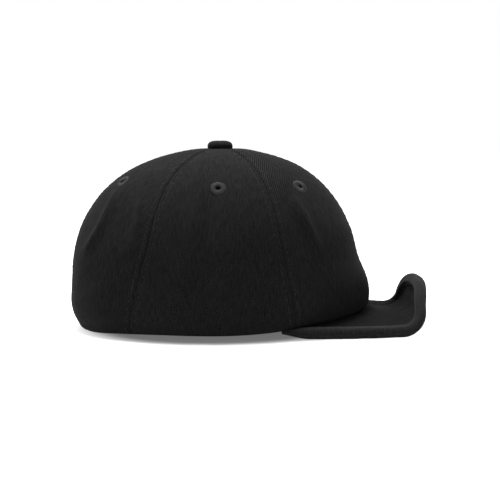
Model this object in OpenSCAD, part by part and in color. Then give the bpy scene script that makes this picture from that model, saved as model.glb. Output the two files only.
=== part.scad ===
// Bump cap: a six-panel cotton cap with a closed back, a turned-up peak with a padded rolled edge,
// and a hard insert with foam pads inside the crown.
// +X is the front, +Y the wearer's left, +Z up. The origin lies on the ground below the crown's centre.

/* [Crown] */
// Length of the crown, front to rear, at its widest
crown_l = 214; // [190:1:240]
// Width of the crown at its widest
crown_w = 174; // [155:1:195]
// Height of the crown's top above its lowest hem
crown_h = 128.6; // [112:0.1:145]
// Height of the crown's widest level above its lowest hem
widest_z = 33; // [26:1:40]
// How square the crown's side view is (2 is an ellipse)
crown_n = 2.3; // [2:0.05:2.8]
// How far the two front panels are flattened
front_flat = 7.4; // [0:0.1:12]
// How far the hem tucks in below the widest level at the sides and front
hem_tuck = 3; // [1:0.5:8]
// How far the hem tucks in at the rear
rear_tuck = 9.3; // [2:0.1:12]
// Height of the hem at the sides
side_hem_z = 5.4; // [4:0.1:12]
// Height of the hem at the front, where it arches over the peak
front_hem_z = 17; // [13:0.5:20]
// Thickness of a twill panel with its facing
panel_t = 1; // [0.6:0.1:1.6]
// Direction of the seam between a front panel and a side panel, from straight ahead
front_seam_a = 60.5; // [54:0.5:68]
// Direction of the seam between a side panel and a back panel
rear_seam_a = 122; // [112:0.5:128]
// How far the seam between side and back swings to the rear at the hem
rear_seam_swing = 10; // [0:0.5:14]
// How far the seam between front and side swings to the front at the hem
front_seam_swing = 6; // [0:0.5:8]

/* [Eyelets and button] */
// Direction of a front panel's eyelet from straight ahead
front_eyelet_a = 37; // [24:0.5:40]
// Direction of a side panel's eyelet
side_eyelet_a = 90; // [82:0.5:100]
// Direction of a back panel's eyelet
back_eyelet_a = 156; // [142:0.5:160]
// Outer radius of an eyelet
eyelet_r = 5.7; // [4:0.1:6]
// Radius of an eyelet's air hole
eyelet_hole_r = 1.6; // [1:0.1:2.2]
// Height of an eyelet's stitched ring above the panel
eyelet_proud = 0.8; // [0.5:0.1:1.5]
// Radius of the covered button
button_r = 9.3; // [7:0.1:12]
// Height of the covered button
button_h = 5.6; // [4:0.1:8]
// Radius of the button's shank
shank_r = 1.8; // [1:0.1:2.5]

/* [Lining] */
// Thickness of the seam tapes and of the front panels' stiffener
tape_t = 0.4; // [0.3:0.1:0.6]
// Width of a seam tape
tape_w = 12; // [8:1:16]
// Height of the sweatband
sweatband_h = 31; // [24:1:38]
// Thickness of the sweatband
sweatband_t = 1; // [0.8:0.1:2]
// Thickness of the forehead pad
forehead_t = 3; // [2:0.5:5]
// Thickness of the elastic in the rear of the sweatband
elastic_t = 0.8; // [0.5:0.1:1]
// Clearance between layers that lie on each other
layer_gap = 0.3; // [0.2:0.05:0.5]

/* [Insert] */
// Wall of the hard insert
insert_t = 2.2; // [1.6:0.1:3]
// Clearance between the top of the sweatband and the insert's rim
insert_up = 5; // [2:0.5:13]
// Radius of the insert's round opening under the button
insert_top_r = 10.9; // [10:0.1:14]
// Radius of an air hole in the insert
vent_r = 4; // [2.5:0.25:5]
// Thickness of the foam pads
pad_t = 5; // [3:0.5:8]

/* [Peak] */
// How far the flattened peak reaches beyond the crown's front
peak_reach = 59.5; // [54:0.5:72]
// How far the peak's sides stay inside the crown's widest level
peak_side_in = 7; // [2:0.5:10]
// How far behind the crown's front the peak's outline starts
peak_start_back = 67; // [60:1:69]
// How square the peak's outline is (2 is an ellipse)
peak_n = 3.1; // [2:0.05:3.4]
// Height of the peak's middle layer above the lowest hem
peak_z = 6.3; // [5.5:0.1:8]
// Thickness of the peak's board
board_t = 2; // [1.4:0.1:3]
// Thickness of the peak's fabric covers
cover_t = 0.8; // [0.5:0.1:1.2]
// Width of the padded roll round the peak's edge
roll_w = 8.6; // [7:0.2:11]
// Thickness of the padded roll
roll_t = 8.2; // [6:0.1:9]
// Radius of the forming wire in the roll
wire_r = 0.9; // [0.6:0.1:1.2]
// How far beyond the crown's front the peak starts to turn up
turn_reach = 19.8; // [17:0.1:24]
// Radius of the turned-up bend
turn_r = 12.5; // [10:0.5:15]
// Radius of the slight backward lean above the bend
lean_r = 400; // [150:10:600]

/* [Hidden] */
$fn = 48;

// Layers of the crown, as depths below its outer face
tape_d = panel_t + layer_gap;
insert_d = tape_d + tape_t + layer_gap;
pad_d = insert_d + insert_t + layer_gap;
elastic_d = tape_d + tape_t + layer_gap;
sweatband_d = elastic_d + elastic_t + layer_gap;
forehead_d = sweatband_d + sweatband_t + layer_gap;

// Columns in a full turn whose flat faces stay within sag of the crown's curve at its tightest
function turn_steps(sag) = ceil(sqrt(PI * PI / 2 * pow(crown_l / 2, 3) / pow(crown_w / 2, 2) / sag));
// Grid of the curved faces: degrees between columns, and rows below and above the widest level
step_a = 360 / turn_steps(0.246);
fine_step_a = 360 / turn_steps(0.1545);
low_rows = 5;
top_rows = 11;
top_v = 0.985;

// The peak's outline and its bend, from the crown's centre
peak_tip_x = crown_l / 2 + peak_reach;
peak_half_w = crown_w / 2 - peak_side_in;
peak_start_x = crown_l / 2 - peak_start_back;
turn_x = crown_l / 2 + turn_reach;

// Layers of the peak, as heights above its middle
cover_low = board_t / 2 + layer_gap;
roll_gap = 0.3;
root_inset = 3;
wire_gap = 0.3;
split_a = 45;
split_gap = 0.6;
split_x = turn_x + turn_r * split_a * PI / 180;
bend_len = turn_r * PI / 2;

// The cap stands on its rear hem and on the peak's roll, just behind the turned-up bend
rest_x = turn_x - 6;
rear_x = -(crown_l / 2 - rear_tuck);
rest_tilt = atan2(peak_z - roll_t / 2 - hem_z(180), rest_x - rear_x);
rest_lift = -rest_x * sin(-rest_tilt) - (peak_z - roll_t / 2) * cos(rest_tilt);

// Sets the cap down from the wearing direction onto the ground
module set_down() {
    translate([0, 0, rest_lift]) rotate([0, rest_tilt, 0]) children();
}

// ---- shapes of the crown ----

// How late the hem tucks in, and how evenly the front is flattened up its height
hem_curve = 3.4;
flat_curve = 0.8;
function front_share(a) = pow(max(0, cos(a)), 2);
// The hem is lowest at the rear, level along the sides and arched over the peak
function hem_z(a) = let (c = cos(a), f = front_hem_z / 2)
    side_hem_z + (f - side_hem_z) * c * c + f * (0.1 * c + 0.9 * c * c * c);
function tuck(a) = hem_tuck + (rear_tuck - hem_tuck) * pow(max(0, -cos(a)), 2);
function plan_r(a, d) = 1 / sqrt(pow(cos(a) / (crown_l / 2 - d), 2) + pow(sin(a) / (crown_w / 2 - d), 2));

// Radius of the crown at direction a and height z, d below its outer face
function crown_r(a, z, d) = z < widest_z
    ? plan_r(a, d) - tuck(a) * pow((widest_z - z) / (widest_z - hem_z(a)), hem_curve) - flat_at(a, z)
    : plan_r(a, d) * pow(max(0, 1 - pow((z - widest_z) / (crown_h - d - widest_z), crown_n)), 1 / crown_n)
        - flat_at(a, z);
function flat_at(a, z) = z <= widest_z ? 0
    : front_flat * front_share(a) * pow(max(0, sin(180 * (z - widest_z) / (crown_h - widest_z))), flat_curve);

// Height of a row: v runs from -1 at the hem over 0 at the widest level to 1 at the top
function row_z(a, v, d) = v < 0
    ? widest_z + v * (widest_z - hem_z(a))
    : widest_z + (crown_h - d - widest_z) * pow(sin(90 * v), 2 / crown_n);
function crown_pt(a, z, d) = let (r = crown_r(a, z, d)) [r * cos(a), r * sin(a), z];
// The same point as a row's point, exact up to the top
function row_pt(a, v, d) = v < 0.02
    ? crown_pt(a, row_z(a, v, d), d)
    : let (z = row_z(a, v, d), r = plan_r(a, d) * pow(cos(90 * v), 2 / crown_n) - flat_at(a, z))
        [r * cos(a), r * sin(a), z];

rows = concat([for (i = [0 : low_rows - 1]) i / low_rows - 1], [for (i = [0 : top_rows]) top_v * i / top_rows]);
function rows_between(lo, hi) = concat([lo], [for (v = rows) if (v > lo + 0.02 && v < hi - 0.02) v], [hi]);

// Direction of each seam: 0 front, 1 front to side, 2 side to back, 3 rear; they swing below swing_z
swing_z = widest_z + 0.4 * (crown_h - widest_z);
function swing(v) = pow(max(0, (swing_z - row_z(90, v, 0)) / (swing_z - side_hem_z)), 1.3);
function seam_a(i, v) = i == 0 ? 0
    : i == 1 ? front_seam_a - front_seam_swing * swing(v)
    : i == 2 ? rear_seam_a + rear_seam_swing * swing(v)
    : 180;

// ---- solids from rings of points ----

// A solid through rings of equal length: strip caps close a flat band, fan caps a round bar; a mirrored
// one splits its faces the other way in its first half
module loft(rings, caps = "strip", mirrored = false) {
    m = len(rings[0]);
    n = len(rings);
    half = m / 2;
    sides = [for (i = [0 : n - 2], k = [0 : m - 1])
        let (a = i * m + k, b = a + m, k2 = (k + 1) % m, c = (i + 1) * m + k2, d = i * m + k2)
        each mirrored && i < (n - 1) / 2 ? [[a, b, d], [b, c, d]] : [[a, b, c], [a, c, d]]];
    last = (n - 1) * m;
    end_faces = caps == "fan" ? concat([for (k = [1 : m - 2]) [0, k, k + 1]],
            [for (k = [1 : m - 2]) [last, last + k + 1, last + k]])
        : [for (k = [0 : half - 2]) let (a = k, b = k + 1, c = m - 2 - k, d = m - 1 - k)
            each [[a, b, c], [a, c, d], [last + a, last + c, last + b], [last + a, last + d, last + c]]];
    polyhedron([for (ring = rings) each ring], concat(sides, end_faces), convexity = 10);
}

// A closed ring solid: each ring is a full turn of one level, outer levels first, then inner
module turned(levels) {
    n = len(levels);
    m = len(levels[0]);
    polyhedron([for (level = levels) each level], [for (i = [0 : n - 1], k = [0 : m - 1])
        let (i2 = (i + 1) % n, k2 = (k + 1) % m)
        each [[i * m + k, i2 * m + k, i2 * m + k2], [i * m + k, i2 * m + k2, i * m + k2]]], convexity = 10);
}

// One level of a piece of the crown's wall, from direction lo to hi and from depth d0 to d1
function wall_ring(v, lo, hi, d0, d1, n) = let (angles = [for (k = [0 : n]) lo + (hi - lo) * k / n])
    concat([for (a = angles) row_pt(a, v, d0)], [for (k = [n : -1 : 0]) row_pt(angles[k], v, d1)]);

// A curved patch between two directions and two heights, narrower at its top and bottom unless square;
// its heights count from the hem, or from the crown's lowest point
module patch(a0, a1, z0, z1, d0, d1, over_hem, n_a, n_z, square = 0) {
    loft([for (j = [0 : n_z]) let (
        s = -1 + 2 * j / n_z,
        narrow = pow(max(0, 1 - pow(abs(s), 4)), 0.25) * (1 - square) + square,
        mid = (a0 + a1) / 2,
        half = (a1 - a0) / 2 * max(0.55, narrow),
        angles = [for (k = [0 : n_a]) mid - half + 2 * half * k / n_a])
        concat([for (a = angles) patch_pt(a, z0, z1, j / n_z, d0, over_hem)],
            [for (k = [n_a : -1 : 0]) patch_pt(angles[k], z0, z1, j / n_z, d1, over_hem)])]);
}
function patch_pt(a, z0, z1, s, d, over_hem) = crown_pt(a, z0 + (z1 - z0) * s + (over_hem ? hem_z(a) : 0), d);

// ---- shapes of the peak ----

// Half-width of the flattened peak at a distance x from the crown's centre, its outline moved in by m
function peak_y(x, m) = let (u = (x - peak_start_x) / (peak_tip_x - m - peak_start_x))
    (peak_half_w - m) * pow(max(0, 1 - pow(max(0, u), peak_n)), 1 / peak_n);
// A point of the flattened outline at the angle s, 0 at the tip and 90 at the side
function outline(s, m) = [
    peak_start_x + (peak_tip_x - m - peak_start_x) * pow(max(0, cos(s)), 2 / peak_n),
    (peak_half_w - m) * pow(max(0, sin(s)), 2 / peak_n)];
// The angle at which the outline passes a distance x
function outline_s(x, m) = acos(pow((x - peak_start_x) / (peak_tip_x - m - peak_start_x), peak_n / 2));

// Bends the flattened peak: x and y lie in its plane, w is the height above its middle
function bend(x, y, w) = let (
    s = x - turn_x,
    f = s <= bend_len ? s / turn_r * 180 / PI : 90 + (s - bend_len) / lean_r * 180 / PI)
    s <= 0 ? [x, y, peak_z + w]
    : s <= bend_len ? [turn_x + (turn_r - w) * sin(f), y, peak_z + turn_r - (turn_r - w) * cos(f)]
    : [turn_x + turn_r - lean_r + (lean_r - w) * sin(f), y, peak_z + turn_r - (lean_r - w) * cos(f)];

// Root of the peak, under the crown's hem
inset = roll_w + roll_gap;
function root_w(a) = hem_z(a) - layer_gap - cover_low - cover_t - peak_z;
function root_pt(a) = let (r = crown_r(a, hem_z(a), 0) - root_inset) [r * cos(a), r * sin(a)];
// The root reaches as far round the crown as the peak is wide
root_side = 1.5;
root_a = max([for (a = [30 : 0.5 : 70]) if (root_pt(a)[1] < peak_half_w - inset - root_side) a]);
front_share_of_root = 0.72;
side_s = outline_s(root_pt(root_a)[0] + 3, inset);
split_s = outline_s(split_x - split_gap / 2, inset);
// Outer edge of the fixed part of the peak, inside its roll, for p from -1 (right) to 1 (left)
function fixed_edge(p) = abs(p) <= front_share_of_root
    ? [split_x - split_gap / 2, peak_y(split_x - split_gap / 2, inset) * p / front_share_of_root]
    : let (e = outline(split_s + (side_s - split_s) * (abs(p) - front_share_of_root) / (1 - front_share_of_root),
        inset)) [e[0], sign(p) * e[1]];
function fixed_pt(p, q, w) = let (
    a = root_a * p,
    root = root_pt(a),
    edge = fixed_edge(p),
    at = root + (edge - root) * q)
    bend(at[0], at[1], w + root_w(a) * pow(1 - q, 2) * (1 + q));
module fixed_sheet(w0, w1) {
    q_rows = 9;
    side = [for (i = [1 : 4]) front_share_of_root + (1 - front_share_of_root) * i / 4];
    middle = [for (i = [-8 : 8]) front_share_of_root * i / 8];
    loft([for (p = concat([for (i = [3 : -1 : 0]) -side[i]], middle, side))
        concat([for (j = [0 : q_rows]) fixed_pt(p, j / q_rows, w1)],
            [for (j = [q_rows : -1 : 0]) fixed_pt(p, j / q_rows, w0)])], mirrored = true);
}

// The turned-up lip, from the split to the tip, in rows across the peak
lip_x0 = split_x + split_gap / 2;
lip_x1 = peak_tip_x - inset - 0.4;
module lip_sheet(w0, w1) {
    n_x = 10;
    n_y = 12;
    loft([for (i = [0 : n_x]) let (x = lip_x0 + (lip_x1 - lip_x0) * sin(90 * i / n_x), y = peak_y(x, inset))
        concat([for (j = [0 : n_y]) bend(x, y * (1 - 2 * j / n_y), w1)],
            [for (j = [n_y : -1 : 0]) bend(x, y * (1 - 2 * j / n_y), w0)])]);
}

// A ring of the edge roll: the section at the outline angle s, sheared into the split's plane near it
function roll_ring(s, shear, half_w, half_t, n) = let (
    p = outline(abs(s), roll_w / 2),
    ahead = outline(abs(s) + 0.5, roll_w / 2) - outline(abs(s) - 0.5, roll_w / 2),
    t = ahead / norm(ahead),
    e = [t[1], -t[0]],
    grow = taper(p[0]),
    slide_by = shear == 0 ? 0 : -shear * e[0] / t[0],
    flip = s < 0 ? -1 : 1)
    [for (k = [0 : n - 1]) let (f = 360 * k / n, c = half_w * grow * cos(f), at = p + e * c + t * c * slide_by)
        bend(at[0], flip * at[1], half_t * grow * sin(f) + end_rise * (1 - grow))];
// The roll thins towards its ends, so that they meet the hem
end_rise = -0.3;
end_share = 0.3;
end_len = 28;
function taper(x) = let (u = min(1, max(0, (x - peak_start_x) / end_len)))
    end_share + (1 - end_share) * u * u * (3 - 2 * u);
side_end_s = 89.5;
cut_s = outline_s(split_x - split_gap / 2, roll_w / 2);
lip_cut_s = outline_s(split_x + split_gap / 2, roll_w / 2);
fixed_steps = 12;
lip_steps = 24;
function fixed_rings(half_w, half_t, n) = [for (i = [0 : fixed_steps]) let (u = i / fixed_steps)
    roll_ring(side_end_s + (cut_s - side_end_s) * u, max(0, 1 - (1 - u) * fixed_steps / 3), half_w, half_t, n)];
function lip_rings(half_w, half_t, n) = [for (i = [0 : lip_steps]) let (u = 1 - 2 * i / lip_steps)
    roll_ring(lip_cut_s * u, max(0, 1 - (1 - abs(u)) * lip_steps / 6), half_w, half_t, n)];

// ---- crown ----

module panel(i) {
    n = ceil((seam_a(i + 1, 0) - seam_a(i, 0)) / step_a);
    difference() {
        loft([for (v = rows) wall_ring(v, seam_a(i, v), seam_a(i + 1, v), 0, panel_t, n)]);
        at_eyelet(i) cylinder(r = eyelet_hole_r + eyelet_wall + layer_gap, h = cut_len, center = true);
    }
}
module side_of(side) {
    set_down() mirror([0, side < 0 ? 1 : 0, 0]) children();
}
module front_panel_left() { color("#1c1c1e") side_of(1) panel(0); }
module front_panel_right() { color("#1c1c1e") side_of(-1) panel(0); }
module side_panel_left() { color("#1c1c1e") side_of(1) panel(1); }
module side_panel_right() { color("#1c1c1e") side_of(-1) panel(1); }
module back_panel_left() { color("#1c1c1e") side_of(1) panel(2); }
module back_panel_right() { color("#1c1c1e") side_of(-1) panel(2); }

// Puts a child on the crown's outer face where a panel's eyelet sits, its Z along the face's normal
eyelet_a = [front_eyelet_a, side_eyelet_a, back_eyelet_a];
eyelet_v = [0.495, 0.495, 0.522];
eyelet_wall = 1.1;
cut_len = 14;
module at_eyelet(i) {
    a = eyelet_a[i];
    v = eyelet_v[i];
    p = row_pt(a, v, 0);
    along = row_pt(a + 1, v, 0) - row_pt(a - 1, v, 0);
    up = row_pt(a, v + 0.02, 0) - row_pt(a, v - 0.02, 0);
    normal = cross(along, up);
    translate(p) rotate([0, acos(normal[2] / norm(normal)), atan2(normal[1], normal[0])]) children();
}
// A stitched ring on both faces of the panel, joined through its hole
module eyelet(i) {
    under = panel_t + 0.65;
    at_eyelet(i) rotate_extrude() polygon([
        [eyelet_hole_r, -under - 0.4], [eyelet_r - 1.2, -under - 0.4], [eyelet_r - 0.8, -under],
        [eyelet_hole_r + eyelet_wall, -under], [eyelet_hole_r + eyelet_wall, 0.3], [eyelet_r - 0.1, 0.3],
        [eyelet_r, 0.5], [eyelet_r - 0.4, eyelet_proud], [eyelet_hole_r + 1, eyelet_proud + 0.2],
        [eyelet_hole_r, eyelet_proud - 0.2]]);
}
module front_eyelet_left() { color("#101012") side_of(1) eyelet(0); }
module front_eyelet_right() { color("#101012") side_of(-1) eyelet(0); }
module side_eyelet_left() { color("#101012") side_of(1) eyelet(1); }
module side_eyelet_right() { color("#101012") side_of(-1) eyelet(1); }
module back_eyelet_left() { color("#101012") side_of(1) eyelet(2); }
module back_eyelet_right() { color("#101012") side_of(-1) eyelet(2); }

// The button: a fabric-covered dome on a rivet that clamps the panels' tips against a washer
button_z = crown_h + layer_gap;
cover_wall = 0.9;
head_r = button_r - cover_wall - 0.2;
module button_cover() {
    hollow = dome(head_r + 0.1, button_h - cover_wall);
    color("#1c1c1e") set_down() translate([0, 0, button_z]) rotate_extrude()
        polygon(concat(dome(button_r, button_h), [for (i = [len(hollow) - 1 : -1 : 0]) hollow[i]]));
}
// The side view of half a dome, from its rim to its top
function dome(r, h) = [for (f = [0 : 9 : 90]) [f == 90 ? 0 : r * pow(cos(f), 0.8), h * pow(sin(f), 0.9)]];
module button_rivet() {
    washer_z = crown_h - tape_d - button_z;
    color("#8a8c90") set_down() translate([0, 0, button_z]) {
        rotate_extrude() polygon(concat([[0, 0]], dome(head_r - 0.1, button_h - cover_wall - 0.3)));
        translate([0, 0, washer_z - 1.5]) cylinder(r = shank_r, h = 1.6 - washer_z);
    }
}
module button_washer() {
    color("#8a8c90") set_down() translate([0, 0, crown_h - tape_d - 0.9]) difference() {
        cylinder(r = button_r - 1.3, h = 0.8);
        translate([0, 0, -1]) cylinder(r = shank_r + 0.05, h = 4);
    }
}

// Degrees taken up by a width in mm beside a seam
function beside(i, v, width) = atan(width / crown_r(seam_a(i, v), row_z(seam_a(i, v), v, 0), tape_d));
// A tape sewn over a seam on the inside, between the heights of two rows
module tape(i, v0, v1) {
    loft([for (v = rows_between(v0, v1)) let (half = beside(i, v, tape_w / 2), a = seam_a(i, v))
        wall_ring(v, a - half, a + half, tape_d, tape_d + tape_t, 2)]);
}
tape_v0 = -0.8;
tape_v1 = 0.8;
module front_seam_tape() { color("#2a2a2d") set_down() tape(0, tape_v0, tape_v1); }
module rear_seam_tape() { color("#2a2a2d") set_down() tape(3, tape_v0, tape_v1); }
module front_side_tape_left() { color("#2a2a2d") side_of(1) tape(1, tape_v0, tape_v1); }
module front_side_tape_right() { color("#2a2a2d") side_of(-1) tape(1, tape_v0, tape_v1); }
module rear_side_tape_left() { color("#2a2a2d") side_of(1) tape(2, tape_v0, tape_v1); }
module rear_side_tape_right() { color("#2a2a2d") side_of(-1) tape(2, tape_v0, tape_v1); }

// Stiff mesh that keeps a front panel upright, between the tapes, with a hole round the eyelet
module stiffener() {
    difference() {
        loft([for (v = rows_between(tape_v0, tape_v1 - 0.02)) let (margin = tape_w / 2 + 1)
            wall_ring(v, seam_a(0, v) + beside(0, v, margin), seam_a(1, v) - beside(1, v, margin), tape_d,
                tape_d + tape_t, ceil((seam_a(1, 0) - 12) / step_a))]);
        at_eyelet(0) cylinder(r = eyelet_r + 2 * layer_gap, h = cut_len, center = true);
    }
}
module front_stiffener_left() { color("#c9c7c0") side_of(1) stiffener(); }
module front_stiffener_right() { color("#c9c7c0") side_of(-1) stiffener(); }

// The sweatband: a closed band inside the hem
band_low = 0.6;
forehead_half_a = 43;
elastic_half_a = 40;
module sweatband() {
    n = turn_steps(0.1545);
    levels = 6;
    outer = [for (j = [0 : levels]) [for (k = [0 : n - 1])
        patch_pt(k * 360 / n, band_low, sweatband_h, j / levels, sweatband_d, true)]];
    inner = [for (j = [levels : -1 : 0]) [for (k = [0 : n - 1])
        patch_pt(k * 360 / n, band_low, sweatband_h, j / levels, sweatband_d + sweatband_t, true)]];
    color("#232326") set_down() turned(concat(outer, inner));
}
module forehead_pad() {
    color("#2b2b2f") set_down()
        patch(-forehead_half_a, forehead_half_a, 4, sweatband_h - 3, forehead_d, forehead_d + forehead_t, true,
            18, 6);
}
module rear_elastic() {
    color("#111113") set_down()
        patch(180 - elastic_half_a, 180 + elastic_half_a, 3, sweatband_h - 8, elastic_d, elastic_d + elastic_t,
            true, 14, 5, 1);
}

// ---- insert ----

insert_rise = sweatband_h + insert_up;
insert_rows = 10;
top_vent_v = 0.8;
side_vent_v = 0.36;
// Row of the insert's top opening
insert_v1 = acos(pow(insert_top_r / (crown_w / 2 - insert_d), crown_n / 2)) / 90;
function insert_pt(a, s, d) = let (v0 = asin(pow(max(0.001, (hem_z(a) + insert_rise - widest_z)
        / (crown_h - widest_z)), crown_n / 2)) / 90)
    row_pt(a, v0 + (insert_v1 - v0) * s, d);
module insert_shell() {
    n = turn_steps(0.195);
    outer = [for (j = [0 : insert_rows]) [for (k = [0 : n - 1])
        insert_pt(k * 360 / n, j / insert_rows, insert_d)]];
    inner = [for (j = [insert_rows : -1 : 0]) [for (k = [0 : n - 1])
        insert_pt(k * 360 / n, j / insert_rows, insert_d + insert_t)]];
    color("#2f3136") set_down() difference() {
        turned(concat(outer, inner));
        for (a = [30 : 60 : 330]) vent(a, top_vent_v);
        for (a = [45 : 90 : 315]) vent(a, side_vent_v);
    }
}
// An air hole square to the insert's wall
module vent(a, v) {
    p = row_pt(a, v, insert_d);
    along = row_pt(a + 1, v, 0) - row_pt(a - 1, v, 0);
    up = row_pt(a, v + 0.02, 0) - row_pt(a, v - 0.02, 0);
    normal = cross(along, up);
    translate(p) rotate([0, acos(normal[2] / norm(normal)), atan2(normal[1], normal[0])])
        cylinder(r = vent_r, h = cut_len, center = true);
}
// Rows of the pads: the ring's lower and upper edge, and the wall pads' upper edge
crown_pad_v0 = 0.74;
crown_pad_v1 = 0.92;
wall_pad_v1 = 0.66;
// A foam pad between two directions and two rows
module wall_pad(a0, a1, v0, v1) {
    n = ceil((a1 - a0) / fine_step_a);
    loft([for (v = rows_between(v0, v1)) let (
        s = (2 * v - v0 - v1) / (v1 - v0),
        half = (a1 - a0) / 2 * (0.75 + 0.25 * sqrt(max(0, 1 - s * s))), mid = (a0 + a1) / 2)
        wall_ring(v, mid - half, mid + half, pad_d, pad_d + pad_t, n)]);
}
module crown_pad() {
    n = 36;
    steps = 3;
    levels = concat([for (i = [0 : steps]) [crown_pad_v0 + (crown_pad_v1 - crown_pad_v0) * i / steps, pad_d]],
        [for (i = [steps : -1 : 0]) [crown_pad_v0 + (crown_pad_v1 - crown_pad_v0) * i / steps, pad_d + pad_t]]);
    color("#3b3c40") set_down() turned([for (level = levels)
        [for (k = [0 : n - 1]) row_pt(k * 360 / n, level[0], level[1])]]);
}
module front_pad() { color("#3b3c40") set_down() wall_pad(-30, 30, 0.2, wall_pad_v1); }
module rear_pad() { color("#3b3c40") set_down() wall_pad(150, 210, 0.12, wall_pad_v1); }
module side_pad_left() { color("#3b3c40") side_of(1) wall_pad(62, 118, 0.14, wall_pad_v1); }
module side_pad_right() { color("#3b3c40") side_of(-1) wall_pad(62, 118, 0.14, wall_pad_v1); }

// Four webbing tabs sewn inside the sweatband that hold the insert's rim
tab_a = 52;
tab_half_a = 6;
tab_lap = 9;
tab_hold = 7;
tab_t = 0.9;
module insert_tabs() {
    tab_d = max(sweatband_d + sweatband_t, insert_d + insert_t) + layer_gap;
    color("#1a1a1c") set_down() for (a = [tab_a, 180 - tab_a, 180 + tab_a, 360 - tab_a])
        patch(a - tab_half_a, a + tab_half_a, sweatband_h - tab_lap, insert_rise + tab_hold, tab_d,
            tab_d + tab_t, true, 3, 6, 1);
}

// ---- peak ----

module peak_board() { color("#3a3a3c") set_down() fixed_sheet(-board_t / 2, board_t / 2); }
module peak_top_cover() { color("#1c1c1e") set_down() fixed_sheet(cover_low, cover_low + cover_t); }
module peak_under_cover() { color("#1c1c1e") set_down() fixed_sheet(-cover_low - cover_t, -cover_low); }
module lip_board() { color("#3a3a3c") set_down() lip_sheet(-board_t / 2, board_t / 2); }
module lip_top_cover() { color("#1c1c1e") set_down() lip_sheet(cover_low, cover_low + cover_t); }
module lip_under_cover() { color("#1c1c1e") set_down() lip_sheet(-cover_low - cover_t, -cover_low); }

roll_points = 12;
bore_r = wire_r + wire_gap;
module roll(outer, inner) {
    n = len(outer);
    turned(concat(outer, [for (i = [n - 1 : -1 : 0]) inner[i]]));
}
module fixed_roll() {
    roll(fixed_rings(roll_w / 2, roll_t / 2, roll_points), fixed_rings(bore_r, bore_r, roll_points));
}
module peak_roll_left() { color("#1c1c1e") side_of(1) fixed_roll(); }
module peak_roll_right() { color("#1c1c1e") side_of(-1) fixed_roll(); }
module lip_roll() {
    color("#1c1c1e") set_down()
        roll(lip_rings(roll_w / 2, roll_t / 2, roll_points), lip_rings(bore_r, bore_r, roll_points));
}
wire_points = 8;
module peak_wire_left() { color("#9a9ca0") side_of(1) loft(fixed_rings(wire_r, wire_r, wire_points), "fan"); }
module peak_wire_right() { color("#9a9ca0") side_of(-1) loft(fixed_rings(wire_r, wire_r, wire_points), "fan"); }
module lip_wire() { color("#9a9ca0") set_down() loft(lip_rings(wire_r, wire_r, wire_points), "fan"); }

front_panel_left();
front_panel_right();
side_panel_left();
side_panel_right();
back_panel_left();
back_panel_right();
front_eyelet_left();
front_eyelet_right();
side_eyelet_left();
side_eyelet_right();
back_eyelet_left();
back_eyelet_right();
button_cover();
button_rivet();
button_washer();
front_seam_tape();
rear_seam_tape();
front_side_tape_left();
front_side_tape_right();
rear_side_tape_left();
rear_side_tape_right();
front_stiffener_left();
front_stiffener_right();
sweatband();
forehead_pad();
rear_elastic();
insert_shell();
crown_pad();
front_pad();
rear_pad();
side_pad_left();
side_pad_right();
insert_tabs();
peak_board();
peak_top_cover();
peak_under_cover();
peak_roll_left();
peak_roll_right();
peak_wire_left();
peak_wire_right();
lip_board();
lip_top_cover();
lip_under_cover();
lip_roll();
lip_wire();
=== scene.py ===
# Black cotton bump cap with a turned-up peak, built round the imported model. Units are metres.
import math

import bpy
import numpy as np
from mathutils import Matrix, Vector


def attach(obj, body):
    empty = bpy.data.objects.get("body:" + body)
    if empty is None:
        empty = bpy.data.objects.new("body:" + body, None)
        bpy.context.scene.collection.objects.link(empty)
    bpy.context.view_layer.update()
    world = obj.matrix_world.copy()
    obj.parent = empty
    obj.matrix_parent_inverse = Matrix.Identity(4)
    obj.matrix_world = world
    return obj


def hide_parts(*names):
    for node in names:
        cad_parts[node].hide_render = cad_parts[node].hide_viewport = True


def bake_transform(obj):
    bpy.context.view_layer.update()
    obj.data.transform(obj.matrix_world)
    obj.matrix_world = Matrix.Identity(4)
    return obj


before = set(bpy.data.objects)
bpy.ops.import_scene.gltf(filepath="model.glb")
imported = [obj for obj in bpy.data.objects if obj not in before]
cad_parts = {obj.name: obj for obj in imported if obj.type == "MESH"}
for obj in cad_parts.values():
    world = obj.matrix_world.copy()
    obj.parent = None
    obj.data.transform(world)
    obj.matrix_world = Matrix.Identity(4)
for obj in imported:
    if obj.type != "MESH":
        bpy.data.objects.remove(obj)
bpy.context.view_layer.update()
MM = 0.001

# ---- Stage, light and camera -------------------------------------------------------------------
# A pale floor that runs out of view, one wide soft light overhead, a weaker one from the front and
# a low fill from the viewer's side. The cap leans on its peak, so the camera leans by the same angle.
lean = math.radians(0.5769)
lift = -0.984
# The floor's painted shadow fades out between these distances from the middle under the cap, in metres
painted_shadow_edge = 0.078, 0.115


def set_down(p):
    """Carries points in mm from the wearing direction to the ground, as metres."""
    p = np.asarray(p, float)
    x = p[..., 0] * math.cos(lean) + p[..., 2] * math.sin(lean)
    z = -p[..., 0] * math.sin(lean) + p[..., 2] * math.cos(lean) + lift
    return np.stack([x, p[..., 1], z], -1) * MM


def node_tree(name):
    material = bpy.data.materials.new(name)
    material.use_nodes = True
    return material, material.node_tree, material.node_tree.nodes["Principled BSDF"]


def area_light(name, at, aim, size, power):
    lamp = bpy.data.lights.new(name, "AREA")
    lamp.size, lamp.energy = size, power
    obj = bpy.data.objects.new(name, lamp)
    obj.location = at
    obj.rotation_euler = (Vector(aim) - Vector(at)).to_track_quat("-Z", "Y").to_euler()
    bpy.context.collection.objects.link(obj)


def feed(tree, node, sockets):
    """Gives each socket its value, or a link where the value is another node's output."""
    for name, value in sockets.items():
        if isinstance(value, bpy.types.NodeSocket):
            tree.links.new(value, node.inputs[name])
        else:
            node.inputs[name].default_value = value


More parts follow.
